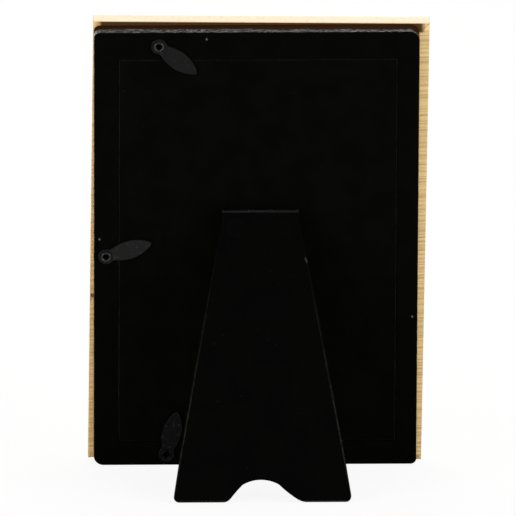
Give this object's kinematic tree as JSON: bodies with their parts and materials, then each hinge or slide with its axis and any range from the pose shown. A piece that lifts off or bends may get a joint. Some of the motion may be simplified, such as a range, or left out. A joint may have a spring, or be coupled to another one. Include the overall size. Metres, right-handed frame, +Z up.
{
  "type": "easel back photo frame",
  "caption": "Portrait picture frame: mitred light wood front, black rear body, removable back panel held by turn buttons, and a hinged easel leg.",
  "frame": {"origin": "on the ground, under the middle of the standing frame's bounding box", "axes": "+Z up, -Y the way the picture faces, +X to the right of someone who looks at the picture"},
  "size_m": [0.1268, 0.081, 0.1767],
  "materials": {
    "light_wood": "sanded, unvarnished",
    "black_lacquer": "gloss black paint on fibreboard",
    "black_board": "satin black on fibreboard",
    "black_steel": "semi-gloss black",
    "bright_steel": "bright",
    "clear_glass": "clear",
    "plain_paper": "matte",
    "grey_card": "matte"
  },
  "bodies": {
    "frame": {"front_rail_top": "light_wood", "front_rail_bottom": "light_wood", "front_rail_left": "light_wood", "front_rail_right": "light_wood", "corner_nails": "bright_steel", "rear_body": "black_lacquer", "body_brads": "bright_steel", "glass_pane": "clear_glass", "picture_sheet": "plain_paper", "filler_card": "grey_card", "back_panel": "black_board", "button_eyelet_top": "black_steel", "button_eyelet_side": "black_steel", "button_eyelet_bottom": "black_steel", "hinge_leaf": "black_steel", "leaf_rivets": "black_steel", "hinge_pin": "bright_steel"},
    "leg": {"easel_leg": "black_board", "leg_clasp": "black_steel", "leg_rivets": "black_steel"},
    "button_top": {"turn_button_top": "black_steel"},
    "button_side": {"turn_button_side": "black_steel"},
    "button_bottom": {"turn_button_bottom": "black_steel"}
  },
  "joints": [
    {"name": "leg_fold", "type": "hinge", "parent": "frame", "child": "leg", "pos_m": [-0.0006, -0.00368, 0.10123], "axis": [-1, 0, 0], "range_deg": [0, 34]},
    {"name": "button_top_turn", "type": "hinge", "parent": "frame", "child": "button_top", "pos_m": [0.0373, 0.00905, 0.16713], "axis": [0, 0.9779, -0.2089], "continuous": true},
    {"name": "button_side_turn", "type": "hinge", "parent": "frame", "child": "button_side", "pos_m": [0.05685, -0.00873, 0.08391], "axis": [0, 0.9779, -0.2089], "continuous": true},
    {"name": "button_bottom_turn", "type": "hinge", "parent": "frame", "child": "button_bottom", "pos_m": [0.0342, -0.02564, 0.00474], "axis": [0, 0.9779, -0.2089], "continuous": true}
  ]
}
